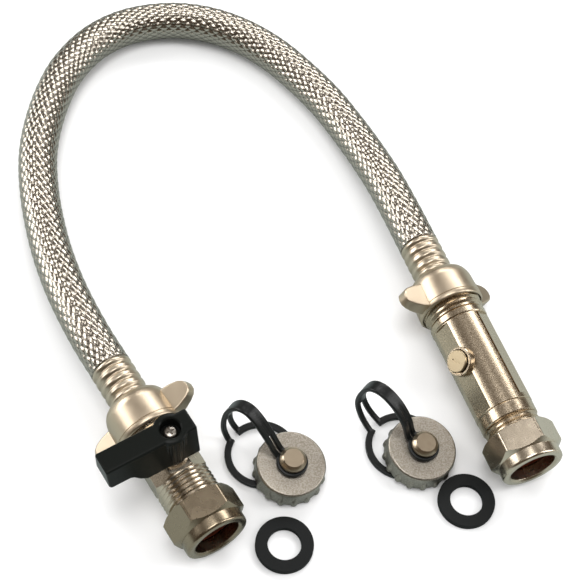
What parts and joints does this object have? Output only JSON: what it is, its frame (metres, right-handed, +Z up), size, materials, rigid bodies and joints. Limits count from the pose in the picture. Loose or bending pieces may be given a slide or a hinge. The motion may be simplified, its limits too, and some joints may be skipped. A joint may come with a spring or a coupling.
{
  "type": "filling loop",
  "caption": "Flexible filling loop: a braided hose joins a quarter-turn lever valve to a double check valve, with blanking caps on straps and loose washers.",
  "frame": {"origin": "on the table, under the middle of the bounding box of everything but the hose", "axes": "+Z up from the table, +Y from the open nuts towards the hose's loop, +X from the lever valve towards the check valve"},
  "size_m": [0.1977, 0.2289, 0.0365],
  "materials": {
    "nickel": "satin nickel plate over brass",
    "brown_nickel": "worn, browner nickel plate over brass",
    "copper": "soft copper",
    "brass": "machined brass",
    "steel": "bright steel",
    "braid": "woven stainless wire over a rubber liner",
    "black_plastic": "smooth black plastic",
    "black_rubber": "satin black rubber",
    "white_plastic": "white bearing plastic",
    "grey_plastic": "grey moulded plastic"
  },
  "bodies": {
    "loop": {"lever_valve_body": "nickel", "ball_seat_mouth_side": "white_plastic", "ball_seat_hose_side": "white_plastic", "ball_retainer": "brass", "stem_thrust_seal": "white_plastic", "joint_washer_lever_end": "black_rubber", "hose_tail_lever_end": "brass", "ferrule_lever_end": "nickel", "check_valve_body": "nickel", "check_housing_first": "white_plastic", "check_spring_first": "steel", "housing_seal_first": "black_rubber", "check_housing_second": "white_plastic", "check_spring_second": "steel", "housing_seal_second": "black_rubber", "test_plug": "brass", "test_plug_seal": "black_rubber", "joint_washer_check_end": "black_rubber", "hose_tail_check_end": "brass", "ferrule_check_end": "nickel", "braided_hose": "braid", "cap_strap_left": "black_plastic", "cap_strap_right": "black_plastic", "loose_washer_left": "black_rubber", "loose_washer_right": "black_rubber"},
    "lever_group": {"lever": "black_plastic", "lever_screw": "steel", "valve_stem": "brass", "valve_ball": "steel", "stem_ring_seal": "black_rubber"},
    "poppet_first": {"check_poppet_first": "grey_plastic"},
    "poppet_second": {"check_poppet_second": "grey_plastic"},
    "olive_lever_end": {"lever_end_olive": "copper"},
    "nut_lever_end": {"lever_end_nut": "brown_nickel"},
    "olive_check_end": {"check_end_olive": "copper"},
    "nut_check_end": {"check_end_nut": "nickel"},
    "wing_nut_lever": {"wing_nut_lever_end": "nickel"},
    "wing_nut_check": {"wing_nut_check_end": "nickel"},
    "cap_left": {"blanking_cap_left": "nickel", "cap_post_left": "brass"},
    "cap_right": {"blanking_cap_right": "nickel", "cap_post_right": "brass"}
  },
  "joints": [
    {"name": "lever_turn", "type": "hinge", "parent": "loop", "child": "lever_group", "pos_m": [-0.04689, -0.0342, 0.0115], "axis": [0, 0, 1], "range_deg": [0, 90]},
    {"name": "check_lift_first", "type": "slide", "parent": "loop", "child": "poppet_first", "axis": [-0.4462, 0.8949, 0], "range_m": [0, 0.003], "stiffness_N_per_m": 100, "springref_m": -0.0025, "deforming": ["check_spring_first"]},
    {"name": "check_lift_second", "type": "slide", "parent": "loop", "child": "poppet_second", "axis": [-0.4462, 0.8949, 0], "range_m": [0, 0.003], "stiffness_N_per_m": 100, "springref_m": -0.0025, "deforming": ["check_spring_second"]},
    {"name": "nut_travel_lever", "type": "slide", "parent": "loop", "child": "olive_lever_end", "axis": [0.6136, -0.7896, 0], "range_m": [0, 0.0045]},
    {"name": "nut_turn_lever", "type": "hinge", "parent": "olive_lever_end", "child": "nut_lever_end", "pos_m": [-0.03401, -0.05078, 0.0115], "axis": [0.6136, -0.7896, 0], "range_deg": [0, 1080]},
    {"name": "wing_nut_turn_lever", "type": "hinge", "parent": "loop", "child": "wing_nut_lever", "pos_m": [-0.05831, -0.01951, 0.0115], "axis": [-0.6136, 0.7896, 0], "range_deg": [0, 45]},
    {"name": "nut_travel_check", "type": "slide", "parent": "loop", "child": "olive_check_end", "axis": [0.4462, -0.8949, 0], "range_m": [0, 0.0045]},
    {"name": "nut_turn_check", "type": "hinge", "parent": "olive_check_end", "child": "nut_check_end", "pos_m": [0.06412, -0.01418, 0.01213], "axis": [0.4462, -0.8949, 0], "range_deg": [0, 1080]},
    {"name": "wing_nut_turn_check", "type": "hinge", "parent": "loop", "child": "wing_nut_check", "pos_m": [0.03664, 0.04095, 0.01213], "axis": [-0.4462, 0.8949, 0], "range_deg": [0, 45]},
    {"name": "cap_swivel_left", "type": "hinge", "parent": "loop", "child": "cap_left", "pos_m": [-0.0099, -0.0272, 0.00127], "axis": [0.0918, -0.0528, 0.9944], "continuous": true},
    {"name": "cap_swivel_right", "type": "hinge", "parent": "loop", "child": "cap_right", "pos_m": [0.0316, -0.0162, 0.00146], "axis": [0.1023, -0.0665, 0.9925], "continuous": true}
  ],
  "couplings": [
    {"joint": "nut_turn_lever", "follows": "nut_travel_lever", "rad_per_m": 4188.8},
    {"joint": "nut_turn_check", "follows": "nut_travel_check", "rad_per_m": 4188.8}
  ]
}
